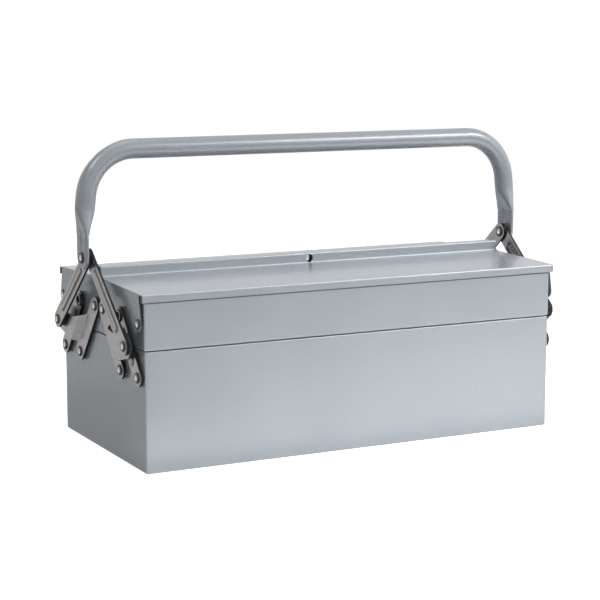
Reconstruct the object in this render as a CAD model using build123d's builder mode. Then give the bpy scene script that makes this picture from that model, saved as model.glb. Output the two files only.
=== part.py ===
from build123d import *
from math import asin, atan2, degrees, radians, tan
import os

os.makedirs("parts", exist_ok=True)

# Cantilever tool box, in millimetres.
# X runs along the box, Y from front to rear and Z up, from the middle of its base.
# Each half and each end is the mirror image of the other, so the linkage is drawn once,
# at the right end of the rear half, where Y and Z are the distances from the middle.

# Lower box
box_length = 412.0
box_depth = 200.0
box_height = 106.1
box_sheet = 1.0
box_hem_height = 7.0
box_corner_radius = 1.5
box_bottom_radius = 2.0
hem_fold_share = 0.8

# Trays, side by side on the rim of the box
tray_height = 46.6
tray_sheet = 0.8
tray_hem_height = 5.0
tray_corner_radius = 1.5
tray_bottom_radius = 2.0
tray_stack_gap = 0.6
tray_middle_gap = 2.0
tray_overhang = 0.4

# Lids, one folded sheet on each tray
lid_sheet = 1.0
lid_clearance = 1.4
lid_side_clearance = 0.4
lid_rise = 2.8
lid_bend_radius = 1.6
lid_edge_depth = 7.0
lid_end_depth = 8.0
ear_radius = 6.8
ear_root_inset = 37.3
ear_root_radius = 6.0
ear_foot_inset = 14.2
ear_foot_radius = 4.0
ear_shoulder_inset = 4.5

# Ridge where the lids meet, with the holes for a padlock
ridge_height = 9.8
front_ridge_y = 5.0
rear_ridge_y = 4.0
ridge_lid_gap = 0.4
lock_hole_radius = 3.8
lock_hole_height = 4.5

# Pivots
foot_below_rim = 23.1
foot_inset = 10.0
strap_spacing = 40.0
crank_head_y = 10.0
head_above_tray = 24.3
corner_across = 40.0
corner_along = 1.15
hinge_inset = 6.5
hinge_above_tray = 23.3
apex_height = 176.5

# Straps of the linkage
strap_width = 16.0
strap_sheet = 2.0
strap_edge_radius = 0.4
strap_stand_off = 1.5
bead_width = 5.0
bead_height = 0.8
bead_end_distance = 18.0
bead_taper = 25.0

# Lobe of each crank, with points measured across and along from its foot pivot
lobe_stand_off = 7.6
lobe_radius = 11.0
lobe_nose_angle = 98.0
lobe_top_root = (1.3, 55.5)
lobe_waist = (19.9, 27.0)
lobe_bottom_bend = (9.9, 4.1)
lobe_bottom_root = (4.5, 5.4)
joggle_start = 8.3
joggle_end = 13.0
joggle_radius = 2.2

# Rivets and washers
running_clearance = 0.05
running_gap = 0.1
shank_radius = 2.5
head_radius = 4.6
head_height = 1.2
dimple_radius = 2.3
dimple_depth = 0.7
tail_radius = 4.0
tail_height = 1.1
washer_radius = 6.5
hinge_washer_radius = 5.5
tube_bore_radius = 3.2
tube_shank_radius = 4.1
tube_head_radius = 5.8
head_round = 0.85
tube_rim_round = 0.6
apex_shank_radius = 3.0
apex_head_radius = 5.2
apex_washer_radius = 8.0
apex_washer_thickness = 1.1

# Carrying handle
tube_diameter = 18.0
tube_wall = 1.5
flat_width = 25.0
flat_thickness = 3.0
flat_edge_radius = 1.2
flat_end_rise = 2.0
flat_length = 20.5
flare_length = 25.0
flare_steps = 4
flare_marks = (2, 75, 105, 178)
full_round_share = 0.49
leg_lean = 6.0
bend_clearance = 4.3
bar_height = 271.3

# Gap between one layer of the linkage and the next
layer_gap = 0.3

# Places that follow from the sizes above
half_length = box_length / 2
tray_bottom = box_height + tray_stack_gap
tray_top = tray_bottom + tray_height
tray_length = box_length + 2 * tray_overhang
tray_depth = (box_depth - tray_middle_gap) / 2
tray_middle_y = (box_depth + tray_middle_gap) / 4
lid_edge_y = box_depth / 2 + lid_side_clearance + lid_sheet
lid_edge_top = tray_top + lid_clearance + lid_sheet
ridge_foot = lid_edge_top + lid_rise
ridge_top = ridge_foot + ridge_height
ear_root_y = box_depth / 2 - ear_root_inset
ear_foot_y = box_depth / 2 - ear_foot_inset
ear_shoulder_y = box_depth / 2 - ear_shoulder_inset

outboard = Vector(1, 0, 0)
arm_foot_y = box_depth / 2 - foot_inset
foot_z = box_height - foot_below_rim
head_z = tray_bottom + head_above_tray
crank_foot = Vector(0, arm_foot_y - strap_spacing, foot_z)
crank_head = Vector(0, crank_head_y, head_z)
arm_foot = Vector(0, arm_foot_y, foot_z)
arm_head = crank_head + arm_foot - crank_foot
hinge = Vector(0, box_depth / 2 - hinge_inset, tray_bottom + hinge_above_tray)
apex = Vector(0, 0, apex_height)
crank_run = (crank_head - crank_foot).normalized()
crank_across = crank_run.cross(outboard)
crank_corner = crank_foot + crank_across * corner_across + crank_run * corner_along

# Layers of the linkage, as distances outboard of the box's end
strap_outer = strap_stand_off + strap_sheet
lobe_outer = lobe_stand_off + strap_sheet
inner_link_face = lobe_outer + layer_gap
outer_link_face = inner_link_face + strap_sheet + layer_gap
links_outer = outer_link_face + strap_sheet
apex_washer_face = links_outer + running_gap
flat_face = apex_washer_face + apex_washer_thickness + running_gap
flat_outer = flat_face + flat_thickness
lid_end_outer = strap_outer - running_gap
lid_end_inner = lid_end_outer - lid_sheet
lid_half_length = half_length + lid_end_outer

halves = {"front": -1, "rear": 1}
sides = {"left": -1, "right": 1}


def write(part, name):
    """Label a finished piece and write it."""
    part.label = name
    export_step(part, f"parts/{name}.step")


def mirrored(part, half=1, side=1):
    """A piece drawn at the right end of the rear half, carried to another quarter of the box."""
    if half < 0:
        part = part.mirror(Plane.XZ)
    if side < 0:
        part = part.mirror(Plane.YZ)
    return part


def cross_bores(points, radius):
    """Round bores along X at the given pivots, long enough to pass through both ends."""
    with BuildPart() as bores:
        with BuildSketch(Plane.YZ):
            with Locations(*[(point.Y, point.Z) for point in points]):
                Circle(radius + running_clearance)
        extrude(amount=box_length, both=True)
    return bores.part


def open_pan(length, depth, height, sheet, hem_height, corner_radius, bottom_radius):
    """An open pan of folded sheet, its base at Z = 0, with the rim folded inward on itself."""
    with BuildPart() as pan:
        with BuildSketch():
            RectangleRounded(length, depth, corner_radius)
        extrude(amount=height)
        fillet(pan.faces().sort_by(Axis.Z)[0].edges(), bottom_radius)
        offset(amount=-sheet, openings=pan.faces().sort_by(Axis.Z)[-1])
        with BuildSketch(Plane.XY.offset(height - hem_height)):
            RectangleRounded(length - sheet, depth - sheet, corner_radius - sheet / 2)
            Rectangle(length - 4 * sheet, depth - 4 * sheet, mode=Mode.SUBTRACT)
        extrude(amount=hem_height)
        fillet(pan.faces().sort_by(Axis.Z)[-1].edges(), hem_fold_share * sheet)
    return pan.part


def cross_plane(x, z=0.0):
    """A plane across the box at X = x, with its own X along Y and its own Y along Z."""
    return Plane(origin=(x, 0, z), x_dir=(0, 1, 0), z_dir=(1, 0, 0))


def strap_plane(foot, head, layer):
    """The plane of a strap's inner face: Y from foot pivot to head pivot, Z outboard."""
    run = (head - foot).normalized()
    origin = foot + outboard * (half_length + layer)
    return Plane(origin=origin, x_dir=run.cross(outboard), z_dir=outboard)


def strap(foot, head, layer, foot_shank, head_shank):
    """A stamped strap with rounded ends, pivot holes and a bead pressed along its middle."""
    length = (head - foot).length
    bead_length = length - 2 * bead_end_distance
    plane = strap_plane(foot, head, layer)
    with BuildPart() as piece:
        with BuildSketch(plane):
            with Locations((0, length / 2)):
                SlotCenterToCenter(length, strap_width, rotation=90)
        extrude(amount=strap_sheet)
        fillet(piece.faces().sort_by(Axis.X)[-1].edges(), strap_edge_radius)
        with BuildSketch(plane.offset(strap_sheet)):
            with Locations((0, length / 2)):
                SlotOverall(bead_length, bead_width, rotation=90)
        extrude(amount=bead_height, taper=bead_taper)
        with BuildSketch(plane):
            with Locations((0, length / 2)):
                SlotOverall(bead_length - strap_sheet, bead_width - strap_sheet, rotation=90)
        extrude(amount=bead_height, taper=bead_taper, mode=Mode.SUBTRACT)
        with BuildSketch(plane):
            Circle(foot_shank + running_clearance)
            with Locations((0, length)):
                Circle(head_shank + running_clearance)
        extrude(amount=strap_sheet, mode=Mode.SUBTRACT)
    return piece.part


def crank():
    """A crank: a strap from box to tray whose lobe, stepped outboard, carries the long link."""
    length = (crank_head - crank_foot).length
    corner = Vector(corner_across, corner_along)
    bend = Vector(*lobe_bottom_bend)
    reach = corner - bend
    tangent = degrees(atan2(reach.Y, reach.X) - asin(lobe_radius / reach.length))
    plane = strap_plane(crank_foot, crank_head, 0)
    section = Plane(origin=plane.origin, x_dir=crank_across, z_dir=-crank_run)
    strap_middle = strap_stand_off + strap_sheet / 2
    lobe_middle = lobe_stand_off + strap_sheet / 2
    lobe_end = corner_across + 2 * lobe_radius
    with BuildPart() as piece:
        with BuildSketch(plane):
            with Locations((0, length / 2)):
                SlotCenterToCenter(length, strap_width, rotation=90)
            with BuildLine():
                nose = CenterArc(corner, lobe_radius, lobe_nose_angle, tangent - 90 - lobe_nose_angle)
                ThreePointArc(lobe_top_root, lobe_waist, nose @ 0)
                Polyline(nose @ 1, bend, lobe_bottom_root, lobe_top_root)
            make_face()
        extrude(amount=lobe_outer + strap_sheet)
        with BuildSketch(section):
            with BuildLine() as step:
                FilletPolyline(
                    (-strap_width, strap_middle),
                    (joggle_start, strap_middle),
                    (joggle_end, lobe_middle),
                    (lobe_end, lobe_middle),
                    radius=joggle_radius,
                )
            trace(step.line, line_width=strap_sheet)
        extrude(amount=length + strap_width, both=True, mode=Mode.INTERSECT)
        with BuildSketch(plane):
            with Locations((0, 0), (0, length), (corner.X, corner.Y)):
                Circle(shank_radius + running_clearance)
        extrude(amount=lobe_outer + strap_sheet, mode=Mode.SUBTRACT)
    return piece.part


def rivet_head(radius):
    """A low round head seated at Z = 0, with a dimple in its middle."""
    ball_radius = (dimple_radius**2 + dimple_depth**2) / (2 * dimple_depth)
    with BuildPart() as head:
        Cylinder(radius, head_height, align=(Align.CENTER, Align.CENTER, Align.MIN))
        fillet(head.faces().sort_by(Axis.Z)[-1].edges(), head_round)
        with Locations((0, 0, head_height + ball_radius - dimple_depth)):
            Sphere(ball_radius, mode=Mode.SUBTRACT)
    return head.part


def rivet(start, end, shank, outer_head=0.0, inner_head=0.0):
    """A rivet about Z from start to end, with a head beyond each end that is given one."""
    ends = []
    if outer_head:
        ends.append(rivet_head(outer_head).moved(Location((0, 0, end))))
    if inner_head:
        ends.append(rivet_head(inner_head).mirror(Plane.XY).moved(Location((0, 0, start))))
    with BuildPart() as piece:
        with Locations((0, 0, start)):
            Cylinder(shank, end - start, align=(Align.CENTER, Align.CENTER, Align.MIN))
        add(ends)
    return piece.part


def tube_rivet(start, end):
    """A hollow rivet about Z with a rolled rim at each end."""
    with BuildPart() as piece:
        with BuildSketch(Plane.XY.offset(start - tail_height)):
            Circle(tube_head_radius)
        extrude(amount=tail_height)
        with BuildSketch(Plane.XY.offset(end)):
            Circle(tube_head_radius)
        extrude(amount=head_height)
        fillet(piece.edges().filter_by(GeomType.CIRCLE).group_by(Axis.Z)[-1], head_round)
        with BuildSketch(Plane.XY.offset(start)):
            Circle(tube_shank_radius)
        extrude(amount=end - start)
        Cylinder(tube_bore_radius, box_length, mode=Mode.SUBTRACT)
        bore_rims = piece.edges().filter_by(GeomType.CIRCLE).sort_by(SortBy.RADIUS)[0:2]
        fillet(bore_rims, tube_rim_round)
    return piece.part


def washer(start, end, bore, rim):
    """A flat ring about Z from start to end."""
    with BuildPart() as ring:
        with BuildSketch(Plane.XY.offset(start)):
            Circle(rim)
            Circle(bore + running_clearance, mode=Mode.SUBTRACT)
        extrude(amount=end - start)
    return ring.part


def at_pivots(part, points, half=1, side_list=(-1, 1)):
    """Copies of a piece made about Z, turned to lie along X at the given pivots of one half."""
    with BuildPart() as group:
        for side in side_list:
            for point in points:
                seat = Plane(origin=(side * half_length, half * point.Y, point.Z), z_dir=(side, 0, 0))
                with Locations(seat):
                    add(part)
    return group.part


def lid(ridge_face, top_reach=None):
    """A lid of the rear half: top, outer edge, two ends with hinge ears and its side of the ridge."""
    ridge_half_length = lid_half_length - lid_sheet
    end_bottom = lid_edge_top - lid_end_depth
    under_top = lid_sheet / 2
    ear_top = lid_edge_top - under_top
    ear_bottom = hinge.Z - ear_radius
    ear_reach = Vector(0, ear_shoulder_y, ear_top) - hinge
    ear_lean = asin(ear_radius / ear_reach.length) - atan2(ear_reach.Y, ear_reach.Z)
    ear_corner_y = hinge.Y + ear_radius * tan((radians(90) + ear_lean) / 2)
    ridge_points = [(ridge_face, ridge_top)]
    if top_reach is not None:
        ridge_points.append((top_reach, ridge_top))
    with BuildPart() as piece:
        with BuildSketch(Plane.YZ):
            with BuildLine():
                fold = FilletPolyline(
                    (lid_edge_y, lid_edge_top - lid_edge_depth),
                    (lid_edge_y, lid_edge_top),
                    (ridge_face, ridge_foot),
                    *ridge_points,
                    radius=lid_bend_radius,
                )
                offset(fold, amount=lid_sheet, side=Side.LEFT)
            make_face()
        extrude(amount=lid_half_length, both=True)
        for side in sides.values():
            with BuildSketch(cross_plane(side * ridge_half_length)):
                with Locations((0, ridge_foot + lid_bend_radius)):
                    Rectangle(4 * ridge_face, ridge_height, align=(Align.CENTER, Align.MIN))
            extrude(amount=side * box_length, mode=Mode.SUBTRACT)
            with BuildSketch(cross_plane(side * lid_half_length)):
                with BuildLine():
                    lower = FilletPolyline(
                        (ridge_face, end_bottom),
                        (ear_root_y, end_bottom),
                        (ear_foot_y, ear_bottom),
                        (ear_corner_y, ear_bottom),
                        (ear_shoulder_y, ear_top),
                        radius=(ear_root_radius, ear_foot_radius, ear_radius),
                    )
                    Polyline(lower @ 1, (ridge_face, ridge_foot - under_top), lower @ 0)
                make_face()
            extrude(amount=-side * lid_sheet)
        add(cross_bores([hinge], shank_radius), mode=Mode.SUBTRACT)
        with BuildSketch(Plane.XZ):
            with Locations((0, ridge_foot + lock_hole_height)):
                Circle(lock_hole_radius)
        extrude(amount=2 * ridge_face, both=True, mode=Mode.SUBTRACT)
    return piece.part


def tray():
    """A tray of the rear half."""
    pan = open_pan(
        tray_length,
        tray_depth,
        tray_height,
        tray_sheet,
        tray_hem_height,
        tray_corner_radius,
        tray_bottom_radius,
    )
    with BuildPart() as piece:
        with Locations((0, tray_middle_y, tray_bottom)):
            add(pan)
        add(cross_bores([crank_head, hinge], shank_radius), mode=Mode.SUBTRACT)
        add(cross_bores([arm_head], tube_shank_radius), mode=Mode.SUBTRACT)
    return piece.part


def lower_box():
    """The lower box."""
    pan = open_pan(
        box_length,
        box_depth,
        box_height,
        box_sheet,
        box_hem_height,
        box_corner_radius,
        box_bottom_radius,
    )
    with BuildPart() as piece:
        add(pan)
        for half in halves.values():
            feet = [Vector(0, half * foot.Y, foot.Z) for foot in (crank_foot, arm_foot)]
            add(cross_bores(feet, shank_radius), mode=Mode.SUBTRACT)
    return piece.part


def flare_section(plane, width, thickness):
    """One section of the flattening tube: eight edges each, so that every section lofts to the next."""
    with BuildSketch(plane) as section:
        if width > thickness:
            corner_radius = thickness - flat_thickness + flat_edge_radius
            RectangleRounded(width, thickness, min(corner_radius, full_round_share * thickness))
        else:
            with BuildLine():
                marks = [turn + mark for turn in (0, 180) for mark in flare_marks]
                for mark, following in zip(marks, marks[1:] + [marks[0] + 360]):
                    CenterArc((0, 0), width / 2, mark, following - mark)
            make_face()
    return section.sketch


def handle():
    """The carrying handle: one tube bent twice, flattened at both ends to turn on the apex pivots."""
    tube_radius = tube_diameter / 2
    flat_x = half_length + flat_face + flat_thickness / 2
    flat_top = apex_height + flat_length
    flare_top = flat_top + flare_length
    bend_radius = bar_height - flare_top - bend_clearance
    lean = tan(radians(leg_lean))
    flare_x = flat_x - flare_length * lean
    corner_x = flat_x - (bar_height - flat_top) * lean
    with BuildPart() as piece:
        with BuildLine(Plane.XZ) as bail:
            FilletPolyline(
                (-flare_x, flare_top),
                (-corner_x, bar_height),
                (corner_x, bar_height),
                (flare_x, flare_top),
                radius=bend_radius,
            )
        with BuildSketch(Plane(origin=bail.line @ 0, z_dir=bail.line % 0)):
            Circle(tube_radius)
            Circle(tube_radius - tube_wall, mode=Mode.SUBTRACT)
        sweep(path=bail.line)
        for side in sides.values():
            for step in range(flare_steps + 1):
                share = step / flare_steps
                swell = share**2 * (3 - 2 * share)
                middle = (side * (flat_x - flare_length * lean * share), 0, flat_top + flare_length * share)
                up = Vector(-side * lean * share, 0, 1)
                width = flat_width + (tube_diameter - flat_width) * swell
                thickness = flat_thickness + (tube_diameter - flat_thickness) * swell
                add(flare_section(Plane(origin=middle, x_dir=(0, 1, 0), z_dir=up), width, thickness))
            loft()
            with BuildSketch(cross_plane(side * flat_x, apex_height)):
                with Locations((0, flat_end_rise)):
                    Circle(flat_width / 2)
                    Rectangle(flat_width, flat_length - flat_end_rise, align=(Align.CENTER, Align.MIN))
            extrude(amount=flat_thickness / 2, both=True)
        add(cross_bores([apex], apex_shank_radius), mode=Mode.SUBTRACT)
    return piece.part


def link_face(half, side):
    """How far out a long link lies: the front one is the inner one at the left end only."""
    return inner_link_face if half == side else outer_link_face


# Lower box and handle

write(lower_box(), "lower_box")
write(handle(), "handle")

# Rivets and washers on the lower box and at the handle's pivots

strap_head = strap_outer + running_gap
strap_back = strap_stand_off - running_gap
link_start = lobe_outer + running_gap
apex_start = inner_link_face - running_gap
apex_end = flat_outer + running_gap
apex_washer_end = apex_washer_face + apex_washer_thickness

box_rivet = rivet(-box_sheet, strap_head, shank_radius, head_radius, tail_radius)
box_washer = washer(0, strap_back, shank_radius, washer_radius)
for name, piece in {"box_rivets": box_rivet, "box_washers": box_washer}.items():
    with BuildPart() as group:
        for half in halves.values():
            add(at_pivots(piece, [crank_foot, arm_foot], half))
    write(group.part, name)

apex_rivet = rivet(apex_start, apex_end, apex_shank_radius, apex_head_radius, apex_head_radius)
apex_washer = washer(apex_washer_face, apex_washer_end, apex_shank_radius, apex_washer_radius)
write(at_pivots(apex_rivet, [apex]), "handle_rivets")
write(at_pivots(apex_washer, [apex]), "handle_washers")

# What the two halves share: rivets, washers, cranks and arms, drawn once and mirrored

tray_wall = tray_overhang - tray_sheet
crank_rivet = rivet(tray_wall, strap_head, shank_radius, head_radius, tail_radius)
arm_rivet = tube_rivet(tray_wall, strap_head)
lid_rivet = rivet(tray_wall, lid_end_outer + running_gap, shank_radius, head_radius, tail_radius)
corner_rivet = rivet(lobe_stand_off, lobe_outer, shank_radius, 0, tail_radius)
crank_washer = washer(tray_overhang, strap_back, shank_radius, washer_radius)
arm_washer = washer(tray_overhang, strap_back, tube_shank_radius, washer_radius)
lid_washer = washer(tray_overhang, lid_end_inner - running_gap, shank_radius, hinge_washer_radius)
link_spacer = washer(link_start, outer_link_face, shank_radius, washer_radius)
crank_part = crank()
arm_part = strap(arm_foot, arm_head, strap_stand_off, shank_radius, tube_shank_radius)

ridge_gap_edge = rear_ridge_y - lid_sheet
lids = {
    "front": lid(front_ridge_y, ridge_lid_gap - ridge_gap_edge),
    "rear": lid(rear_ridge_y),
}

for half_name, half in halves.items():
    write(mirrored(tray(), half), f"{half_name}_tray")
    write(mirrored(lids[half_name], half), f"{half_name}_lid")
    write(at_pivots(crank_rivet, [crank_head], half), f"{half_name}_tray_rivets")
    write(at_pivots(arm_rivet, [arm_head], half), f"{half_name}_arm_rivets")
    write(at_pivots(lid_rivet, [hinge], half), f"{half_name}_lid_rivets")
    write(at_pivots(lid_washer, [hinge], half), f"{half_name}_lid_washers")
    write(at_pivots(corner_rivet, [crank_corner], half), f"{half_name}_crank_rivets")
    with BuildPart() as tray_washers:
        add(at_pivots(crank_washer, [crank_head], half))
        add(at_pivots(arm_washer, [arm_head], half))
    write(tray_washers.part, f"{half_name}_tray_washers")
    with BuildPart() as link_rivets:
        for side in sides.values():
            link_outer = link_face(half, side) + strap_sheet
            link_rivet = rivet(link_start, link_outer, shank_radius, head_radius)
            add(at_pivots(link_rivet, [crank_corner], half, [side]))
    write(link_rivets.part, f"{half_name}_link_rivets")
    write(at_pivots(link_spacer, [crank_corner], half, [-half]), f"{half_name}_link_spacer")
    for side_name, side in sides.items():
        link = strap(crank_corner, apex, link_face(half, side), shank_radius, apex_shank_radius)
        write(mirrored(crank_part, half, side), f"{half_name}_{side_name}_crank")
        write(mirrored(arm_part, half, side), f"{half_name}_{side_name}_arm")
        write(mirrored(link, half, side), f"{half_name}_{side_name}_link")
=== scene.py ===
# %% [markdown]
# # A cantilever tool box
# A steel box with two lidded trays on top. The trays hang on flat straps riveted to the ends
# of the box, and a bent tube handle lifts them shut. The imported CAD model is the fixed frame
# here: each cell below either gives one of its nodes a finish or sets a finer mesh in its place.

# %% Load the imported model
from math import cos, hypot, pi, radians, sin, sqrt, tan

import bmesh
import bpy
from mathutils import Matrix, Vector


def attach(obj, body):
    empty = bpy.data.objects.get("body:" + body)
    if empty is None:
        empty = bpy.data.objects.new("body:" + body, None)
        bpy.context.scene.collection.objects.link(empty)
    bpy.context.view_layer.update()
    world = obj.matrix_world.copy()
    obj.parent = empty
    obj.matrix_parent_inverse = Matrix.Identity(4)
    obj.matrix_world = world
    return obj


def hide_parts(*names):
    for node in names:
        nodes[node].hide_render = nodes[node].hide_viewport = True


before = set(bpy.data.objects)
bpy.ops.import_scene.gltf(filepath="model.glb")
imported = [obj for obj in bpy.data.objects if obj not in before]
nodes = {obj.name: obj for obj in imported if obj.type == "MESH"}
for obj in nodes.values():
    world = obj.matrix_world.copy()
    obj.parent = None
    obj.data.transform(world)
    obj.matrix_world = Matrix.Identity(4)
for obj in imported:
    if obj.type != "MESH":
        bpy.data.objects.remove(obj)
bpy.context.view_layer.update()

# %% [markdown]
# ## The camera
# The camera stands in front of the box and to its left, a little above it. Its place, turn and
# focal length were fitted to the corners of the box, so a long lens stands far away. Copying
# them as numbers is simpler than aiming the camera at a target.

# %% Camera
camera_data = bpy.data.cameras.new("camera")
camera_data.sensor_width = 36.0
camera_data.lens = 104.49
camera = bpy.data.objects.new("camera", camera_data)
camera.location = (-0.74973, -1.44555, 0.37949)
camera.rotation_euler = (radians(90 - 8.968), 0, radians(-27.177))
bpy.context.scene.collection.objects.link(camera)
bpy.context.scene.camera = camera
print("camera", tuple(round(value, 3) for value in camera.location))

# %% [markdown]
# ## Floor and light
# The box was photographed on a white sweep under soft boxes. A large pale floor stands in for
# the sweep. It and the world are white to the camera through Light Path, a little dimmer in
# reflections, and light the box only gently, so the shadow stays and the paint keeps its grey.
# A narrow key from the front right shades the long side from dark to bright, and three wide,
# weak lamps fill the other sides. One even dome would be simpler, but it would show no form.
# Reflections don't see the key itself: its mirror image would burn out the lids from behind. A
# weaker lamp just in front of it draws the bright line along the handle instead.
# The foot of the long side mirrors the edge of the bright table that the box stood on. A sheet
# on the floor, seen only in reflections, stands for that table and lights nothing else.

# %% Floor, world and soft boxes
scene = bpy.context.scene
scene.view_settings.view_transform = "Standard"


def link(tree, start, end):
    tree.links.new(start, end)


def seen_ray(tree, mirrored=1.0):
    """1 for camera rays, `mirrored` for rays from a reflection, 0 for light that falls on things."""
    path = tree.nodes.new("ShaderNodeLightPath")
    value = path.outputs["Is Camera Ray"]
    for kind in ("Is Glossy Ray", "Is Transmission Ray"):
        part = tree.nodes.new("ShaderNodeMath")
        part.operation = "MULTIPLY"
        part.inputs[1].default_value = mirrored
        link(tree, path.outputs[kind], part.inputs[0])
        either = tree.nodes.new("ShaderNodeMath")
        either.operation = "MAXIMUM"
        link(tree, value, either.inputs[0])
        link(tree, part.outputs[0], either.inputs[1])
        value = either.outputs[0]
    return value


world_light, world_mirrored, floor_glow, floor_mirrored = 0.10, 0.85, 0.95, 0.25
world = bpy.data.worlds.new("white_sweep")
world.use_nodes = True
scene.world = world
sky = world.node_tree
sky.nodes.clear()
seen = sky.nodes.new("ShaderNodeBackground")
seen.inputs["Color"].default_value = (1, 1, 1, 1)
seen.inputs["Strength"].default_value = 1.0
lit = sky.nodes.new("ShaderNodeBackground")
lit.inputs["Color"].default_value = (0.97, 0.98, 1.0, 1)
lit.inputs["Strength"].default_value = world_light
mix = sky.nodes.new("ShaderNodeMixShader")
link(sky, seen_ray(sky, world_mirrored), mix.inputs[0])
link(sky, lit.outputs[0], mix.inputs[1])
link(sky, seen.outputs[0], mix.inputs[2])
link(sky, mix.outputs[0], sky.nodes.new("ShaderNodeOutputWorld").inputs["Surface"])


def lay_sheet(name, corners, material, height=0.0):
    """A flat sheet of the stage, from its corners on the floor."""
    sheet_mesh = bpy.data.meshes.new(name)
    sheet_mesh.from_pydata([(x, y, height) for x, y in corners], [], [tuple(range(len(corners)))])
    sheet_mesh.materials.append(material)
    sheet = bpy.data.objects.new(name, sheet_mesh)
    scene.collection.objects.link(sheet)
    return sheet


pale = bpy.data.materials.new("pale_floor")
pale.use_nodes = True
tree = pale.node_tree
tree.nodes.clear()
diffuse = tree.nodes.new("ShaderNodeBsdfDiffuse")
diffuse.inputs["Color"].default_value = (0.80, 0.80, 0.80, 1)
glow = tree.nodes.new("ShaderNodeEmission")
glow.inputs["Strength"].default_value = floor_glow
none = tree.nodes.new("ShaderNodeEmission")
none.inputs["Strength"].default_value = 0.0
pick = tree.nodes.new("ShaderNodeMixShader")
link(tree, seen_ray(tree, floor_mirrored), pick.inputs[0])
link(tree, none.outputs[0], pick.inputs[1])
link(tree, glow.outputs[0], pick.inputs[2])
both = tree.nodes.new("ShaderNodeAddShader")
link(tree, diffuse.outputs[0], both.inputs[0])
link(tree, pick.outputs[0], both.inputs[1])
link(tree, both.outputs[0], tree.nodes.new("ShaderNodeOutputMaterial").inputs["Surface"])
lay_sheet("floor", [(-6, -6), (6, -6), (6, 6), (-6, 6)], pale)

bright = bpy.data.materials.new("bright_table")
bright.use_nodes = True
tree = bright.node_tree
tree.nodes.clear()
table_strength, table_height = 1.5, 0.0004
glow = tree.nodes.new("ShaderNodeEmission")
glow.inputs["Strength"].default_value = table_strength
link(tree, glow.outputs[0], tree.nodes.new("ShaderNodeOutputMaterial").inputs["Surface"])
table_corners = [(-0.206, -0.14), (-0.206, -0.222), (0.428, -0.556), (0.66, -0.14)]
table = lay_sheet("table", table_corners, bright, table_height)
table.visible_camera = table.visible_diffuse = table.visible_shadow = False


def soft_box(name, place, target, width, height, power, spread=180):
    """A large area lamp at a place, facing a target; a grid can narrow its spread."""
    data = bpy.data.lights.new(name, "AREA")
    data.shape = "RECTANGLE"
    data.size = width
    data.size_y = height
    data.energy = power
    data.spread = radians(spread)
    lamp = bpy.data.objects.new(name, data)
    lamp.location = place
    lamp.rotation_euler = (Vector(target) - Vector(place)).to_track_quat("-Z", "Y").to_euler()
    lamp.visible_camera = False
    scene.collection.objects.link(lamp)
    return lamp


key_aim, key_spread = (0.14, -0.24, 0), 50
key = soft_box("key", (1.2, -1.3, 1.15), key_aim, 0.9, 0.7, power=3.3, spread=key_spread)
key.visible_glossy = False
soft_box("sheen", (1.18, -1.28, 1.13), key_aim, 0.9, 0.7, power=1.0, spread=key_spread)
box_middle = (0, 0, 0.1)
soft_box("overhead", (-0.1, 0.1, 1.6), box_middle, 1.1, 0.9, power=2.1)
soft_box("rear_fill", (-0.3, 2.0, 1.1), box_middle, 1.2, 0.8, power=7)
soft_box("left_fill", (-1.0, -0.3, 1.3), box_middle, 0.5, 0.5, power=2.2)

# %% [markdown]
# ## Sizes the linkage shares
# The straps, rivets and handle all sit on a few pivots, the same at both ends and mirrored
# from the rear half to the front half. The pivots and layers repeat the CAD model's numbers
# in metres, so that every finer piece stays exactly where its solid is.

# %% Pivots and layers
MM = 0.001
half_length = 206.0 * MM
halves = {"front": -1, "rear": 1}
sides = {"left": -1, "right": 1}
crank_foot = Vector((0, 50.0, 83.0)) * MM
crank_head = Vector((0, 10.0, 131.0)) * MM
arm_foot = Vector((0, 90.0, 83.0)) * MM
arm_head = Vector((0, 50.0, 131.0)) * MM
hinge = Vector((0, 93.5, 130.0)) * MM
apex = Vector((0, 0, 176.5)) * MM
outboard = Vector((1, 0, 0))
crank_run = (crank_head - crank_foot).normalized()
crank_corner = crank_foot + crank_run.cross(outboard) * 40.0 * MM + crank_run * 1.15 * MM
strap_layer = 1.5 * MM
inner_link_layer = 9.9 * MM
outer_link_layer = 12.2 * MM
layers_part = 6.5 * MM
lid_end_layer = 2.45 * MM
tray_wall_y = 100 * MM
# Height of the painted shadow line on the trays, under the lids' edges.
lid_gap_shadow_z = 148.1 * MM
print("crank corner", tuple(round(value / MM, 2) for value in crank_corner))

# %% [markdown]
# ## Silver-grey paint
# The sheet steel is sprayed with a thin silver-grey enamel. Such paint could be a flat grey,
# but the real one has a faint orange peel, fine flakes and slow changes of tone. Noise on
# Object coordinates gives all three, because they stay in place on every folded sheet. Light
# and shade are painted in by rules too: a painted highlight makes the folds pale, painted shade
# darkens the edges of the lids' ends beside the trays, and a thin painted shadow lies on each
# tray just under its lid's edge.

# %% Paint


def new_material(name):
    """A material with only a Principled shader and its output."""
    material = bpy.data.materials.new(name)
    material.use_nodes = True
    tree = material.node_tree
    tree.nodes.clear()
    shader = tree.nodes.new("ShaderNodeBsdfPrincipled")
    output = tree.nodes.new("ShaderNodeOutputMaterial")
    link(tree, shader.outputs[0], output.inputs["Surface"])
    return material, tree, shader


def calculate(tree, operation, *values):
    """A Math node whose inputs are numbers or other nodes' outputs."""
    node = tree.nodes.new("ShaderNodeMath")
    node.operation = operation
    for socket, value in zip(node.inputs, values):
        if isinstance(value, (int, float)):
            socket.default_value = value
        else:
            link(tree, value, socket)
    return node.outputs[0]


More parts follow.
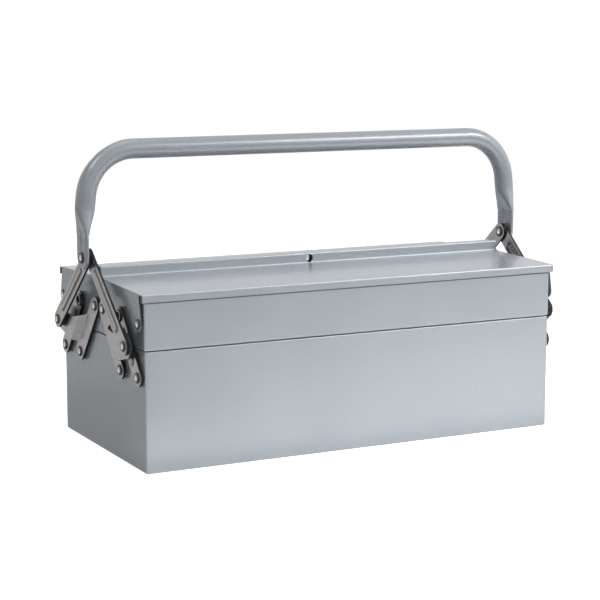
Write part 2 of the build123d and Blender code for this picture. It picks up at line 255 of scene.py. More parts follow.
def object_noise(tree, scale, detail=3.0, roughness=0.5, stretch=(1, 1, 1)):
    """Noise on Object coordinates, stretched along an axis where a finish has a grain."""
    place = tree.nodes.new("ShaderNodeTexCoord")
    mapping = tree.nodes.new("ShaderNodeMapping")
    mapping.inputs["Scale"].default_value = stretch
    noise = tree.nodes.new("ShaderNodeTexNoise")
    noise.inputs["Scale"].default_value = scale
    noise.inputs["Detail"].default_value = detail
    noise.inputs["Roughness"].default_value = roughness
    link(tree, place.outputs["Object"], mapping.inputs[0])
    link(tree, mapping.outputs[0], noise.inputs["Vector"])
    return noise.outputs["Fac"]


def ramp(tree, value, stops):
    """Colours or greys along a value."""
    node = tree.nodes.new("ShaderNodeValToRGB")
    elements = node.color_ramp.elements
    while len(elements) < len(stops):
        elements.new(0.5)
    for element, (place, colour) in zip(elements, stops):
        element.position = place
        element.color = (*colour, 1)
    link(tree, value, node.inputs[0])
    return node.outputs["Color"]


def bump(tree, shader, value, strength, distance):
    node = tree.nodes.new("ShaderNodeBump")
    node.inputs["Strength"].default_value = strength
    node.inputs["Distance"].default_value = distance
    link(tree, value, node.inputs["Height"])
    link(tree, node.outputs[0], shader.inputs["Normal"])


def grey(value, blue=0.0):
    """A cool grey: a little less red and a little more blue than its middle."""
    return (value * (1 - blue), value, value * (1 + blue))


def mixed(tree, share, plain_colour, other):
    """A blend from one colour output to a fixed colour by a share."""
    blend = tree.nodes.new("ShaderNodeMix")
    blend.data_type = "RGBA"
    link(tree, share, blend.inputs["Factor"])
    link(tree, plain_colour, blend.inputs[6])
    blend.inputs[7].default_value = (*other, 1)
    return blend.outputs[2]


def split_axes(tree, output):
    """The three sizes, without their signs, of a place or a direction of the object's own."""
    place = tree.nodes.new("ShaderNodeTexCoord")
    split = tree.nodes.new("ShaderNodeSeparateXYZ")
    link(tree, place.outputs[output], split.inputs[0])
    return [calculate(tree, "ABSOLUTE", split.outputs[axis]) for axis in "XYZ"]


def fold_highlight(tree):
    """A painted highlight: 1 in the middle of a fold, whose surface faces between the box's three
    directions.
    """
    squarest = 0.0
    for along in split_axes(tree, "Normal"):
        squarest = calculate(tree, "MAXIMUM", squarest, along)
    return ramp(tree, squarest, [(0.70, (1.0,) * 3), (0.80, (0.8,) * 3), (0.96, (0.0,) * 3)])


def lid_end_shade(tree):
    """Painted shade: 1 on the front- and back-facing edges of the lids' ends, dark beside the trays."""
    out, _, _ = split_axes(tree, "Object")
    _, sideways, _ = split_axes(tree, "Normal")
    end = calculate(tree, "GREATER_THAN", out, half_length + lid_end_layer)
    return calculate(tree, "MULTIPLY", end, calculate(tree, "GREATER_THAN", sideways, 0.5))


def lid_gap_shadow(tree):
    """1 in the thin painted shadow on a tray's outer wall, just under its lid's edge."""
    _, deep, high = split_axes(tree, "Object")
    _, sideways, _ = split_axes(tree, "Normal")
    wall = calculate(tree, "COMPARE", deep, tray_wall_y, 0.2 * MM)
    facing = calculate(tree, "GREATER_THAN", sideways, 0.9)
    near = calculate(tree, "COMPARE", high, lid_gap_shadow_z, 0.75 * MM)
    return calculate(tree, "MULTIPLY", wall, calculate(tree, "MULTIPLY", facing, near))


def paint(name, tone, roughness, coat, peel, painted_light=False):
    """A silver-grey enamel with drifting tone, flakes and orange peel, and painted highlight and shade if
    asked for.
    """
    material, tree, shader = new_material(name)
    drift = object_noise(tree, 9.0, 2.0)
    stops = [(0.35, grey(tone * 0.97, 0.085)), (0.65, grey(tone * 1.03, 0.075))]
    colour = ramp(tree, drift, stops)
    if painted_light:
        # Painted light on the sheets: a painted highlight on the folds, painted shade on the lids' end
        # edges, and a painted shadow on the trays under the lids' edges.
        colour = mixed(tree, fold_highlight(tree), colour, grey(tone * 1.4, 0.04))
        colour = mixed(tree, lid_end_shade(tree), colour, grey(0.04, 0.05))
        colour = mixed(tree, lid_gap_shadow(tree), colour, grey(tone * 0.4, 0.05))
    link(tree, colour, shader.inputs["Base Color"])
    grain = object_noise(tree, 900.0, 2.0)
    rough = ramp(tree, grain, [(0.3, (roughness * 0.9,) * 3), (0.7, (roughness * 1.1,) * 3)])
    link(tree, rough, shader.inputs["Roughness"])
    shader.inputs["Metallic"].default_value = 0.30
    shader.inputs["Coat Weight"].default_value = coat
    shader.inputs["Coat Roughness"].default_value = 0.08
    bump(tree, shader, object_noise(tree, 260.0, 3.0), 0.06, peel)
    return material


# The sheets get the painted highlight, shade and shadow; the handle gets none.
silver_paint = paint("silver_paint", tone=0.45, roughness=0.30, coat=0.3, peel=0.0004, painted_light=True)
handle_paint = paint("handle_paint", tone=0.40, roughness=0.30, coat=0.45, peel=0.00007)


def finish(node, material):
    """Give a CAD node its finish, in each of its own material slots."""
    slots = nodes[node].material_slots
    for slot in slots:
        slot.material = material
    if not slots:
        nodes[node].data.materials.append(material)


painted_nodes = ["lower_box", "front_tray", "rear_tray", "front_lid", "rear_lid"]
for node in painted_nodes:
    finish(node, silver_paint)
finish("handle", handle_paint)
print("painted", painted_nodes)

# %% [markdown]
# ## Zinc plate and bright steel
# The straps are zinc-plated: a grey metal with a faint yellow and violet bloom. The rivets are
# bright steel, apart from the hollow ones, whose rolled rims are plated. Painted shade darkens
# all three where shadow falls: on the straps' edges and the slopes of their beads, in a ring
# round each head, on the rounded rim of each solid head, and in the bore and at the outer edge
# of each hollow rivet, so that its crest stays pale. The shaded places could be painted by hand,
# but a rule finds them: edges face away from the box's ends, and rings lie a set distance from
# a pivot.

# %% Where metal gets painted shade


def nearest_of(tree, place, pivots):
    """Distance from a place to the nearest of some pivots."""
    nearest = 1.0
    for pivot in pivots:
        gap = tree.nodes.new("ShaderNodeVectorMath")
        gap.operation = "DISTANCE"
        link(tree, place, gap.inputs[0])
        gap.inputs[1].default_value = pivot
        nearest = calculate(tree, "MINIMUM", nearest, gap.outputs["Value"])
    return nearest


def pivot_distance(tree):
    """Distance to the nearest pivot of a piece's own layer; front and rear share one rule."""
    out, deep, high = split_axes(tree, "Object")
    flat = tree.nodes.new("ShaderNodeCombineXYZ")
    link(tree, deep, flat.inputs["Y"])
    link(tree, high, flat.inputs["Z"])
    raised = calculate(tree, "GREATER_THAN", out, half_length + layers_part)
    inner = nearest_of(tree, flat.outputs[0], (crank_foot, crank_head, arm_foot, arm_head, hinge))
    outer = nearest_of(tree, flat.outputs[0], (apex, crank_corner))
    inner = calculate(tree, "ADD", inner, raised)
    outer = calculate(tree, "ADD", outer, calculate(tree, "SUBTRACT", 1.0, raised))
    return calculate(tree, "MINIMUM", inner, outer)


def edge_shade(tree, steep, level):
    """Painted shade: 1 on faces that stand square to the box's ends, 0 on faces that lie parallel to them.
    """
    flatness, _, _ = split_axes(tree, "Normal")
    fade = tree.nodes.new("ShaderNodeMapRange")
    fade.interpolation_type = "SMOOTHSTEP"
    fade.inputs["From Min"].default_value = steep
    fade.inputs["From Max"].default_value = level
    fade.inputs["To Min"].default_value = 1.0
    fade.inputs["To Max"].default_value = 0.0
    link(tree, flatness, fade.inputs["Value"])
    return fade.outputs["Result"]


def pivot_shade_rings(tree, stops):
    """Painted shade along the distance to a pivot, from stops of (millimetres, shade)."""
    reach = 10 * MM
    share = calculate(tree, "DIVIDE", pivot_distance(tree), reach)
    return ramp(tree, share, [(far * MM / reach, (shade_share,) * 3) for far, shade_share in stops])


# %% Zinc and steel


def metal(name, tints, roughness, grain_scale, edge, shade_ring_stops):
    """A bare or plated metal whose tints drift, with painted shade on its edges, round its pivots and
    beside its beads.
    """
    material, tree, shader = new_material(name)
    bloom = object_noise(tree, 45.0, 3.0, 0.55)
    places = [0.3 + 0.4 * index / (len(tints) - 1) for index in range(len(tints))]
    plain_colour = ramp(tree, bloom, list(zip(places, tints)))
    grain = object_noise(tree, grain_scale, 4.0)
    # Painted shade: the colour goes towards near black on strap edges and bead slopes, in rings round the
    # pivots, and in the furrows beside the beads.
    shade_share = calculate(tree, "MAXIMUM", edge_shade(tree, *edge), pivot_shade_rings(tree, shade_ring_stops))
    # The straps' own painted shade beside their beads, read from their points.
    bead_shade = tree.nodes.new("ShaderNodeAttribute")
    bead_shade.attribute_name = "bead_shade"
    shade_share = calculate(tree, "MAXIMUM", shade_share, bead_shade.outputs["Fac"])
    link(tree, mixed(tree, shade_share, plain_colour, (0.045, 0.045, 0.045)), shader.inputs["Base Color"])
    rough = ramp(tree, grain, [(0.3, (roughness * 0.8,) * 3), (0.7, (roughness * 1.2,) * 3)])
    rough = calculate(tree, "ADD", rough, calculate(tree, "MULTIPLY", shade_share, 0.25))
    link(tree, rough, shader.inputs["Roughness"])
    shader.inputs["Metallic"].default_value = 1.0
    bump(tree, shader, grain, 0.05, 0.0003)
    return material


zinc_tints = [(0.46, 0.43, 0.34), (0.50, 0.50, 0.48), (0.45, 0.43, 0.47), (0.55, 0.55, 0.50)]
# Painted shade by distance from a pivot, in mm: a ring just outside each head on the straps, the rounded
# rim of each solid head, and the bore and outer edge of each hollow rivet.
zinc_shade_rings = [(4.5, 0.8), (5.0, 0.3), (5.8, 0.0)]
zinc_plate = metal("zinc_plate", zinc_tints, 0.30, 500.0, edge=(0.1, 0.4), shade_ring_stops=zinc_shade_rings)
steel_tints = [(0.76, 0.76, 0.75), (0.84, 0.84, 0.84)]
steel_shade_rings = [(2.3, 0.0), (3.0, 0.9), (5.8, 0.95)]
rivet_steel = metal("rivet_steel", steel_tints, 0.22, 900.0, edge=(0.2, 0.7), shade_ring_stops=steel_shade_rings)
rim_shade_rings = [(3.4, 0.9), (3.9, 0.15), (5.2, 0.15), (5.8, 0.9)]
rim_steel = metal("rim_steel", zinc_tints, 0.28, 900.0, edge=(0.2, 0.7), shade_ring_stops=rim_shade_rings)
for node in nodes:
    if node.endswith(("_arm", "_crank", "_link", "washers", "spacer")):
        finish(node, zinc_plate)
    elif node.endswith("rivets"):
        finish(node, rivet_steel)
print("metals", zinc_plate.name, rivet_steel.name, rim_steel.name)

# %% [markdown]
# ## Beaded straps
# The arms and long links are stamped from 2 mm strip: rounded ends, a hole at each pivot, and a
# bead pressed along the middle to stiffen them. A boolean of simple shapes would leave sharp,
# dull beads. Here one sheet of small faces follows the outline, and its height is a rule: the
# bead rises smoothly where a point lies close to the strap's middle line. A second sheet 2 mm
# below, joined to the first along the outline, gives the strip its thickness, and Bevel breaks
# its stamped edges. Each point also carries how much painted shade falls in the furrows beside
# the bead.

# %% Strap sheet
strap_radius = 8.0 * MM
strap_thickness = 2.0 * MM
bead_height = 0.85 * MM
bead_half_width = 2.5 * MM
bead_slope = 1.1 * MM
bead_insets = {"arm": 16.5 * MM, "link": 20.5 * MM}
# How dark and how wide the painted shade in the furrows beside a bead is.
bead_shade_share, bead_shade_reach = 0.75, 1.7 * MM
arm_hole, stamped_edge = 4.3 * MM, 0.35 * MM


def smooth_step(value):
    value = min(max(value, 0.0), 1.0)
    return value * value * (3 - 2 * value)


def bead_rise(across, along, length, bead_inset):
    """Height of the bead above the strip at a point of the strap."""
    past = max(bead_inset - along, along - (length - bead_inset), 0.0)
    away = hypot(across, past)
    return bead_height * smooth_step((bead_half_width + bead_slope / 2 - away) / bead_slope)


def bead_shade_at(across, along, length, bead_inset):
    """How much painted shade a point gets: it lies in the furrows beside the bead."""
    past = max(bead_inset - along, along - (length - bead_inset), 0.0)
    away = abs(hypot(across, past) - bead_half_width - bead_slope / 2)
    return bead_shade_share * smooth_step((bead_shade_reach - away) / (1.1 * MM))


def strap_rows(length):
    """Places along a strap: close together at its round ends and where the bead ends."""
    end = [-strap_radius * cos(radians(turn)) for turn in (6, 14, 24, 35, 47, 60, 74)]
    steps = round(length / (1.3 * MM))
    middle = [length * step / steps for step in range(steps + 1)]
    return end + middle + [length - place for place in reversed(end)]


def strap_columns():
    """Places across a strap as shares of its half width, close together on the bead's slopes."""
    half = [0.0, 0.12, 0.2, 0.25, 0.3, 0.35, 0.4, 0.5, 0.65, 0.8, 0.92, 1.0]
    return [-share for share in reversed(half[1:])] + half


def new_piece(name, mesh_data, material, body, slot, *replaced):
    """An object at the origin that rides on a body and stands for CAD nodes."""
    piece = bpy.data.objects.new(name, mesh_data)
    scene.collection.objects.link(piece)
    mesh_data.materials.clear()
    mesh_data.materials.append(material)
    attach(piece, body)
    if replaced:
        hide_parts(*replaced)
    return piece


def smooth_mesh(name, form, angle=38):
    """A smooth mesh from a bmesh, its faces turned outward and its edges sharp over an angle."""
    bmesh.ops.recalc_face_normals(form, faces=form.faces)
    mesh_data = bpy.data.meshes.new(name)
    form.to_mesh(mesh_data)
    form.free()
    mesh_data.polygons.foreach_set("use_smooth", [True] * len(mesh_data.polygons))
    mesh_data.set_sharp_from_angle(angle=radians(angle))
    return mesh_data


def thick_strap(rows, columns, point_at, holes, thickness):
    """Outer and inner skin of a strap joined along its outline, without its pivot holes."""
    form = bmesh.new()
    # Each point carries its share of painted shade beside the bead.
    bead_shade = form.verts.layers.float.new("bead_shade")

    def set_point(row, column, depth):
        place, shade_amount = point_at(row, column, depth)
        vert = form.verts.new(place)
        vert[bead_shade] = shade_amount
        return vert

    skins = []
    for depth in (0.0, -thickness):
        skins.append([[set_point(row, column, depth) for column in columns] for row in rows])
    for skin in skins:
        for first, second in zip(skin, skin[1:]):
            for one, two, three, four in zip(first, first[1:], second[1:], second):
                middle = (one.co + two.co + three.co + four.co) / 4
                if all((middle - centre).yz.length > radius for centre, radius in holes):
                    form.faces.new((one, two, three, four))
    borders = []
    for skin in skins:
        border = [row[-1] for row in skin] + list(reversed(skin[-1][:-1]))
        border += [row[0] for row in reversed(skin[:-1])] + skin[0][1:-1]
        borders.append(border)
    upper, lower = borders
    for index in range(len(upper)):
        after = (index + 1) % len(upper)
        form.faces.new((upper[index], upper[after], lower[after], lower[index]))
    bmesh.ops.delete(form, geom=[vert for vert in form.verts if not vert.link_faces], context="VERTS")
    return form


def beaded_strap(foot, head, layer, half, side, holes, bead_inset):
    """One strap of the linkage, from its foot pivot to its head pivot."""
    length = (head - foot).length
    run = (head - foot).normalized()
    across_axis = run.cross(outboard)

    def point_at(along, share, depth):
        past = max(-along, along - length, 0.0)
        across = share * sqrt(max(strap_radius**2 - past**2, 0.0))
        rise = bead_rise(across, along, length, bead_inset)
        out = half_length + layer + strap_thickness + depth + rise
        place = foot + run * along + across_axis * across + outboard * out
        # Share of painted shade at this point, in the furrows beside the bead.
        shade_amount = bead_shade_at(across, along, length, bead_inset)
        return Vector((place.x * side, place.y * half, place.z)), shade_amount

    turned = [(Vector((0, centre.y * half, centre.z)), radius) for centre, radius in holes]
    return thick_strap(strap_rows(length), strap_columns(), point_at, turned, strap_thickness)


strap_count = 0
for half_name, half in halves.items():
    for side_name, side in sides.items():
        link_layer = inner_link_layer if half == side else outer_link_layer
        straps = {
            "arm": (arm_foot, arm_head, strap_layer, [(arm_head, arm_hole)]),
            "link": (crank_corner, apex, link_layer, []),
        }
        for kind, (foot, head, layer, holes) in straps.items():
            node = f"{half_name}_{side_name}_{kind}"
            form = beaded_strap(foot, head, layer, half, side, holes, bead_insets[kind])
            strap_mesh = smooth_mesh(f"{node}_strap", form)
            body = f"{half_name}_{kind}"
            piece = new_piece(f"{node}_strap", strap_mesh, zinc_plate, body, "zinc_plate", node)
            edge = piece.modifiers.new("stamped_edge", "BEVEL")
            edge.width = stamped_edge
            edge.segments = 2
            edge.limit_method = "ANGLE"
            edge.angle_limit = radians(60)
            strap_count += 1
print("straps", strap_count)

# %% [markdown]
# ## Rivets by Geometry Nodes
# Every pivot is held by a turned rivet: a low round head with a dimple, a shank, and a tail
# inside. Only the arms' heads have tubes with rolled rims instead. Modelling dozens of them one
# by one would be slow, so one tree makes them all. A grid becomes a turned form, since two curves
# hold its radius and height along the profile, and the grid's other way runs round the axis. The
# form is then set on each pivot, facing along the pivot's own direction.

# %% Rivet tree


def turned_tree(name, profile):
    """A tree that turns a profile of (radius, height) points and sets it on every input point."""
    tree = bpy.data.node_groups.new(name, "GeometryNodeTree")
    face = tree.interface
    face.new_socket("Geometry", in_out="INPUT", socket_type="NodeSocketGeometry")
    for size in ("Widest radius", "Whole height"):
        face.new_socket(size, in_out="INPUT", socket_type="NodeSocketFloat")
    face.new_socket("Segments", in_out="INPUT", socket_type="NodeSocketInt")
    face.new_socket("Finish", in_out="INPUT", socket_type="NodeSocketMaterial")
    face.new_socket("Geometry", in_out="OUTPUT", socket_type="NodeSocketGeometry")
    start = tree.nodes.new("NodeGroupInput")
    end = tree.nodes.new("NodeGroupOutput")

    def math(operation, *values):
        return calculate(tree, operation, *values)

    def curve(values, along):
        node = tree.nodes.new("ShaderNodeFloatCurve")
        line = node.mapping.curves[0]
        last = len(values) - 1
        line.points[0].location = (0, values[0])
        line.points[1].location = (1, values[last])
        for index in range(1, last):
            line.points.new(index / last, values[index])
        for point in line.points:
            point.handle_type = "VECTOR"
        node.mapping.update()
        link(tree, along, node.inputs["Value"])
        return node.outputs[0]

    grid = tree.nodes.new("GeometryNodeMeshGrid")
    grid.inputs["Size X"].default_value = 1
    grid.inputs["Size Y"].default_value = 1
    grid.inputs["Vertices X"].default_value = len(profile)
    link(tree, math("ADD", start.outputs["Segments"], 1), grid.inputs["Vertices Y"])
    place = tree.nodes.new("GeometryNodeInputPosition")
    split = tree.nodes.new("ShaderNodeSeparateXYZ")
    link(tree, place.outputs[0], split.inputs[0])
    along = math("ADD", split.outputs["X"], 0.5)
    turn = math("MULTIPLY", math("ADD", split.outputs["Y"], 0.5), 2 * pi)
    radii, heights = zip(*profile)
    radius = math("MULTIPLY", curve(radii, along), start.outputs["Widest radius"])
    height = math("MULTIPLY", curve(heights, along), start.outputs["Whole height"])
    join = tree.nodes.new("ShaderNodeCombineXYZ")
    link(tree, math("MULTIPLY", radius, math("COSINE", turn)), join.inputs["X"])
    link(tree, math("MULTIPLY", radius, math("SINE", turn)), join.inputs["Y"])
    link(tree, height, join.inputs["Z"])
    shape = tree.nodes.new("GeometryNodeSetPosition")
    link(tree, grid.outputs["Mesh"], shape.inputs["Geometry"])
    link(tree, join.outputs[0], shape.inputs["Position"])
    weld = tree.nodes.new("GeometryNodeMergeByDistance")
    weld.inputs["Distance"].default_value = 0.000004
    link(tree, shape.outputs[0], weld.inputs["Geometry"])
    facing = tree.nodes.new("GeometryNodeInputNamedAttribute")
    facing.data_type = "FLOAT_VECTOR"
    facing.inputs["Name"].default_value = "facing"
    aim = tree.nodes.new("FunctionNodeAlignRotationToVector")
    aim.axis = "Z"
    link(tree, facing.outputs["Attribute"], aim.inputs["Vector"])
    copies = tree.nodes.new("GeometryNodeInstanceOnPoints")
    link(tree, start.outputs["Geometry"], copies.inputs["Points"])
    link(tree, weld.outputs[0], copies.inputs["Instance"])
    link(tree, aim.outputs[0], copies.inputs["Rotation"])
    real = tree.nodes.new("GeometryNodeRealizeInstances")
    link(tree, copies.outputs[0], real.inputs[0])
    coat = tree.nodes.new("GeometryNodeSetMaterial")
    link(tree, real.outputs[0], coat.inputs["Geometry"])
    link(tree, start.outputs["Finish"], coat.inputs["Material"])
    link(tree, coat.outputs[0], end.inputs[0])
    return tree


def turned_at(name, profile, seats, material, body, slot, *replaced, segments=36):
    """Turned pieces with their origin on each seat (point, facing), as one plain mesh."""
    widest = max(point[0] for point in profile)
    lowest = min(point[1] for point in profile)
    span = max(point[1] for point in profile) - lowest
    shares = [(radius / widest, (height - lowest) / span) for radius, height in profile]
    holder_mesh = bpy.data.meshes.new(f"{name}_seats")
    starts = [point + facing * lowest for point, facing in seats]
    holder_mesh.from_pydata([tuple(point) for point in starts], [], [])
    facing_data = holder_mesh.attributes.new("facing", "FLOAT_VECTOR", "POINT")
    facing_data.data.foreach_set("vector", [value for _, facing in seats for value in facing])
    holder = bpy.data.objects.new(f"{name}_seats", holder_mesh)
    scene.collection.objects.link(holder)
    tree = turned_tree(f"{name}_turned", shares)
    turner = holder.modifiers.new("turned", "NODES")
    turner.node_group = tree
    values = {"Widest radius": widest, "Whole height": span, "Segments": segments, "Finish": material}
    for item in tree.interface.items_tree:
        if item.in_out == "INPUT" and item.name in values:
            turner[item.identifier] = values[item.name]
    held = holder.evaluated_get(bpy.context.evaluated_depsgraph_get())
    made = bpy.data.meshes.new_from_object(held)
    bpy.data.objects.remove(holder)
    form = bmesh.new()
    form.from_mesh(made)
    piece_mesh = smooth_mesh(name, form, 40)
    piece = new_piece(name, piece_mesh, material, body, slot, *replaced)
    print(name, len(seats), "turned,", len(piece_mesh.polygons), "faces")
    return piece


def seats_at(points, out, half_list=(-1, 1), side_list=(-1, 1)):
    """Seats on pivots, a distance outboard of the box's ends, facing out."""
    return [
        (Vector((side * (half_length + out), half * point.y, point.z)), Vector((side, 0, 0)))
        for half in half_list
        for side in side_list
        for point in points
    ]


head_height, dimple, dimple_depth, head_round = 1.2 * MM, 2.3 * MM, 0.7 * MM, 0.85 * MM


def round_head(radius):
    """Profile of a head from its middle to its rim: dimple, crown and rounded edge."""
    height, edge, shares = head_height, head_round, (0, 0.35, 0.6, 0.8, 0.93)
    hollow = [(dimple * share, height - dimple_depth * (1 - share**2)) for share in shares]
    lip = [(dimple + 0.12 * MM, height - 0.02 * MM), (dimple + 0.35 * MM, height)]
    rim = []
    for turn in (90, 70, 50, 30, 12, 0):
        angle = radians(turn)
        rim.append((radius - edge + edge * cos(angle), height - edge + edge * sin(angle)))
    return hollow + lip + rim + [(radius, 0.02 * MM), (radius - 0.05 * MM, 0)]


def solid_rivet(grip, shank, head, tail):
    """Head above the seat, shank through the grip, and tail on its far side; 0 leaves one off."""
    top = round_head(head) if head else [(0, 0)]
    profile = top + [(shank, 0), (shank, -grip)]
    if tail:
        profile += [(radius, -grip - rise) for radius, rise in reversed(round_head(tail))]
    else:
        profile += [(0, -grip)]
    return profile


def hollow_rivet(grip):
    """A tube whose ends are rolled over into rims, open right through."""
    bore, shank, rim, edge = 3.2 * MM, 4.1 * MM, 5.8 * MM, 0.55 * MM
    top = []
    for turn in (180, 150, 120, 90, 60, 30, 0):
        angle = radians(turn)
        middle = bore + edge if turn > 90 else rim - edge
        top.append((middle + edge * cos(angle), head_height - edge + edge * sin(angle)))
    below = [(radius, -grip - rise) for radius, rise in reversed(top)]
    return top + [(rim, 0), (shank, 0), (shank, -grip), (rim, -grip)] + below + [top[0]]


def ring(thickness, bore, rim):
    """A washer with its edges just broken."""
    soft = 0.15 * MM
    outer = [(rim - soft, 0), (rim, -soft), (rim, soft - thickness), (rim - soft, -thickness)]
    inner = [(bore + soft, -thickness), (bore, soft - thickness), (bore, -soft), (bore + soft, 0)]
    return outer + inner + [outer[0]]


print("solid rivet profile points", len(solid_rivet(5 * MM, 2.5 * MM, 4.6 * MM, 4 * MM)))

# %% Rivets on every pivot
strap_seat, ear_seat, lobe_seat, apex_seat = 3.6 * MM, 3.5 * MM, 9.6 * MM, 18.6 * MM
inner_link_seat, outer_link_seat = 11.9 * MM, 14.2 * MM
head_radius, tail_radius, shank_radius = 4.6 * MM, 4.0 * MM, 2.5 * MM
apex_head_radius, apex_shank_radius = 5.2 * MM, 3.0 * MM
box_grip, tray_grip, lid_grip, lobe_grip, apex_grip = 4.6 * MM, 4.0 * MM, 3.9 * MM, 2.0 * MM, 8.8 * MM
inner_link_grip, outer_link_grip = 2.2 * MM, 4.5 * MM


def set_rivets(name, profile, seats, body, node, steel=rivet_steel):
    return turned_at(name, profile, seats, steel, body, "rivet_steel", node)


box_rivet = solid_rivet(box_grip, shank_radius, head_radius, tail_radius)
set_rivets("lower_box_rivets", box_rivet, seats_at([crank_foot, arm_foot], strap_seat), "box", "box_rivets")
apex_rivet = solid_rivet(apex_grip, apex_shank_radius, apex_head_radius, apex_head_radius)
apex_seats = seats_at([apex], apex_seat, (1,))
set_rivets("apex_rivets", apex_rivet, apex_seats, "handle_carriage", "handle_rivets")
tray_rivet = solid_rivet(tray_grip, shank_radius, head_radius, tail_radius)
lid_rivet = solid_rivet(lid_grip, shank_radius, head_radius, tail_radius)
lobe_rivet = solid_rivet(lobe_grip, shank_radius, 0, tail_radius)
for name, half in halves.items():
    tray_body = f"{name}_tray"
    head_seats = seats_at([crank_head], strap_seat, (half,))
    set_rivets(f"{name}_crank_head_rivets", tray_rivet, head_seats, tray_body, f"{name}_tray_rivets")
    hollow_seats = seats_at([arm_head], strap_seat, (half,))
    hollow, node = hollow_rivet(tray_grip), f"{name}_arm_rivets"
    set_rivets(f"{name}_hollow_rivets", hollow, hollow_seats, tray_body, node, rim_steel)
    ear_seats = seats_at([hinge], ear_seat, (half,))
    set_rivets(f"{name}_ear_rivets", lid_rivet, ear_seats, tray_body, f"{name}_lid_rivets")
    lobe_seats = seats_at([crank_corner], lobe_seat, (half,))
    set_rivets(f"{name}_lobe_rivets", lobe_rivet, lobe_seats, f"{name}_crank", f"{name}_crank_rivets")
    for side_name, side in sides.items():
        outer = half != side
        grip = outer_link_grip if outer else inner_link_grip
        out = outer_link_seat if outer else inner_link_seat
        seat = seats_at([crank_corner], out, (half,), (side,))
        link_rivet = solid_rivet(grip, shank_radius, head_radius, 0)
        body, node = f"{name}_link", f"{name}_link_rivets"
        set_rivets(f"{name}_{side_name}_link_rivet", link_rivet, seat, body, node)
print("rivets set")

# %% [markdown]
# ## Washers and spacers
# A washer keeps each strap off the sheet behind it. They are turned forms too, so the same tree
# makes them from a flat profile with broken edges. Plain cylinders would catch no light there.

# %% Washers under every pivot


def set_washers(name, points, near, far, bore, rim, body, node, half_list=(-1, 1), side_list=(-1, 1)):
    """Washers from a near face to a far face, counted outboard from the box's ends."""
    seats = seats_at(points, far, half_list, side_list)
    profile = ring(far - near, bore, rim)
    return turned_at(name, profile, seats, zinc_plate, body, "zinc_plate", *node)


bore, arm_bore, apex_bore = 2.55 * MM, 4.15 * MM, 3.05 * MM
rim, ear_rim, apex_rim = 6.5 * MM, 5.5 * MM, 8 * MM
set_washers("box_foot_washers", [crank_foot, arm_foot], 0, 1.4 * MM, bore, rim, "box", ["box_washers"])
near, far = 14.3 * MM, 15.4 * MM
body, handle_node = "handle_carriage", ["handle_washers"]
set_washers("apex_washers", [apex], near, far, apex_bore, apex_rim, body, handle_node, (1,))
for name, half in halves.items():
    body, tray_node, one = f"{name}_tray", f"{name}_tray_washers", (half,)
    near, far = 0.4 * MM, 1.4 * MM
    set_washers(f"{name}_crank_head_washers", [crank_head], near, far, bore, rim, body, [tray_node], one)
    set_washers(f"{name}_arm_head_washers", [arm_head], near, far, arm_bore, rim, body, [tray_node], one)
    far, lid_node = 2.3 * MM, f"{name}_lid_washers"
    set_washers(f"{name}_ear_washers", [hinge], near, far, bore, ear_rim, body, [lid_node], one)
    spacer = [f"{name}_link_spacer"]
    near, far, body = 9.7 * MM, 12.2 * MM, f"{name}_link"
    end = (-half,)
    set_washers(f"{name}_link_spacer_turned", [crank_corner], near, far, bore, rim, body, spacer, one, end)

# %% [markdown]
# ## The carrying handle
# The handle is one steel tube, bent twice, with both ends pressed flat for the pivots. Pressing
# widens the tube and leaves a shallow crease down each flat. It could be a curve with a round
# bevel, but a curve can't flatten its own section. So rings of points are set along the line of
# the tube, and width, thickness and corner radius change from ring to ring.

# %% Handle rings
tube_radius = 9.0 * MM
flat_width = 25.0 * MM
flat_thickness = 3.0 * MM
flat_x = half_length + 17.0 * MM
flat_top = 197.0 * MM
flat_round_z = 178.5 * MM
flare_length = 25.0 * MM
bar_z = 271.3 * MM
bend_radius = 45.0 * MM
leg_lean = radians(6)
half_bend = radians(42)
flat_corner, shoulder = 1.2 * MM, 0.9 * MM
crease_depth, crease_half_width = 0.8 * MM, 2.6 * MM
crease_bottom, crease_top = 184 * MM, 203 * MM
ring_points, bend_steps, bar_steps = 72, 28, 8


def rounded_outline(width, thickness, corner):
    """Evenly spaced points round a rounded rectangle: (across, through)."""
    corner = min(corner, width / 2, thickness / 2) * 0.999
    long, short = width / 2 - corner, thickness / 2 - corner
    quarter = pi * corner / 2
    parts = [short, quarter, 2 * long, quarter, 2 * short, quarter, 2 * long, quarter, short]
    turns = [(long, short, 0), (-long, short, 90), (-long, -short, 180), (long, -short, 270)]
    points = []
    for index in range(ring_points):
        run = sum(parts) * index / ring_points
        step = 0
        while run > parts[step]:
            run -= parts[step]
            step += 1
        if step % 2:
            across, through, begin = turns[step // 2]
            angle = radians(begin) + run / corner
            points.append((across + corner * cos(angle), through + corner * sin(angle)))
        elif step == 0:
            points.append((width / 2, run))
        elif step == 2:
            points.append((long - run, thickness / 2))
        elif step == 4:
            points.append((-width / 2, short - run))
        elif step == 6:
            points.append((-long + run, -thickness / 2))
        else:
            points.append((width / 2, -short + run))
    return points


def crease(across, height):
    """Depth of the shallow crease down the middle of a flat."""
    fade_in = smooth_step((height - crease_bottom) / (4 * MM))
    window = fade_in * smooth_step((crease_top - height) / (8 * MM))
    return crease_depth * window * smooth_step((crease_half_width - abs(across)) / (1.1 * MM))


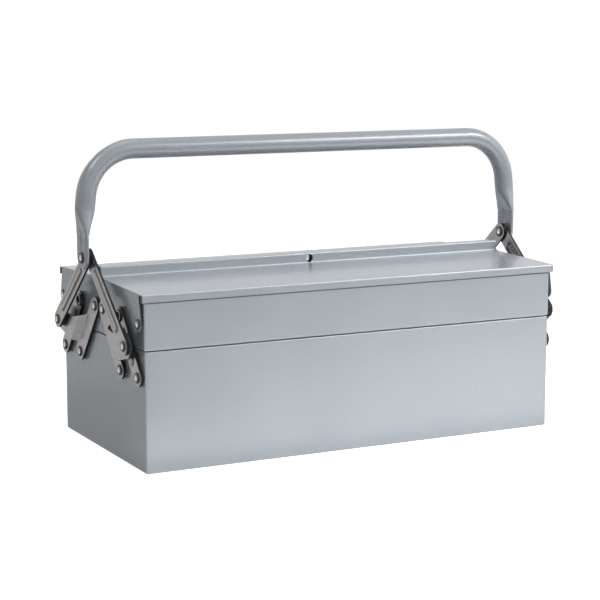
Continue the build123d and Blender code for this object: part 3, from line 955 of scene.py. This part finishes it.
def leg_ring(height):
    """Ring of the right leg below its bend: flat, then flaring to the round tube."""
    share = min(max((height - flat_top) / flare_length, 0.0), 1.0)
    swell = smooth_step(share)
    width = flat_width + (2 * tube_radius - flat_width) * swell
    thickness = flat_thickness + (2 * tube_radius - flat_thickness) * swell
    if height < flat_round_z:
        below = flat_round_z - height
        width = 2 * sqrt(max((flat_width / 2) ** 2 - below**2, (1.5 * MM) ** 2))
        thickness -= 1.6 * MM * smooth_step((below - 11.4 * MM) / (1.1 * MM))
    thickness += shoulder * smooth_step((height - flat_top) / (0.5 * MM)) * (1 - swell)
    corner = flat_corner + (tube_radius - flat_corner) * swell
    x = flat_x - max(height - flat_top, 0.0) * tan(leg_lean)
    outline = []
    for across, through in rounded_outline(width, thickness, corner):
        sign = 1 if through > 0 else -1
        outline.append((across, through - sign * min(crease(across, height), abs(through))))
    return x, height, leg_lean * share, outline


def tube_ring(x, height, angle):
    return x, height, angle, rounded_outline(2 * tube_radius, 2 * tube_radius, tube_radius)


corner_x = flat_x - (bar_z - flat_top) * tan(leg_lean)
bend_x = corner_x - bend_radius * tan(half_bend)
bend_z = bar_z - bend_radius
leg_heights = [166.05, 166.5, 167.2, 168.2, 169.5, 171, 173, 175.5, 178.5, 181.5, 184, 186, 188]
leg_heights += [190, 193, 195.5, 197, 197.25]
leg_heights += [197.5 + 1.225 * step for step in range(21)] + [225, 228]
half_rings = [leg_ring(height * MM) for height in leg_heights]
for step in range(bend_steps + 1):
    angle = leg_lean + (pi / 2 - leg_lean) * step / bend_steps
    x, height = bend_x + bend_radius * cos(angle), bend_z + bend_radius * sin(angle)
    half_rings.append(tube_ring(x, height, angle))
for step in range(1, bar_steps + 1):
    half_rings.append(tube_ring(bend_x * (1 - step / bar_steps), bar_z, pi / 2))
print("handle rings", 2 * len(half_rings) - 1)

# %% Handle skin
form = bmesh.new()
handle_rings = []
for x, height, angle, outline in half_rings:
    out, up = cos(angle), sin(angle)
    handle_rings.append([(x + out * through, across, height + up * through) for across, through in outline])
handle_rings += [[(-x, y, z) for x, y, z in ring_right] for ring_right in reversed(handle_rings[:-1])]
skin = [[form.verts.new(point) for point in points] for points in handle_rings]
for low, high in zip(skin, skin[1:]):
    for index in range(ring_points):
        after = (index + 1) % ring_points
        form.faces.new((low[index], low[after], high[after], high[index]))
form.faces.new(list(reversed(skin[0])))
form.faces.new(skin[-1])
handle_mesh = smooth_mesh("handle_tube", form, 50)
new_piece("handle_tube", handle_mesh, handle_paint, "handle", "handle_paint", "handle")
print("handle faces", len(handle_mesh.polygons))
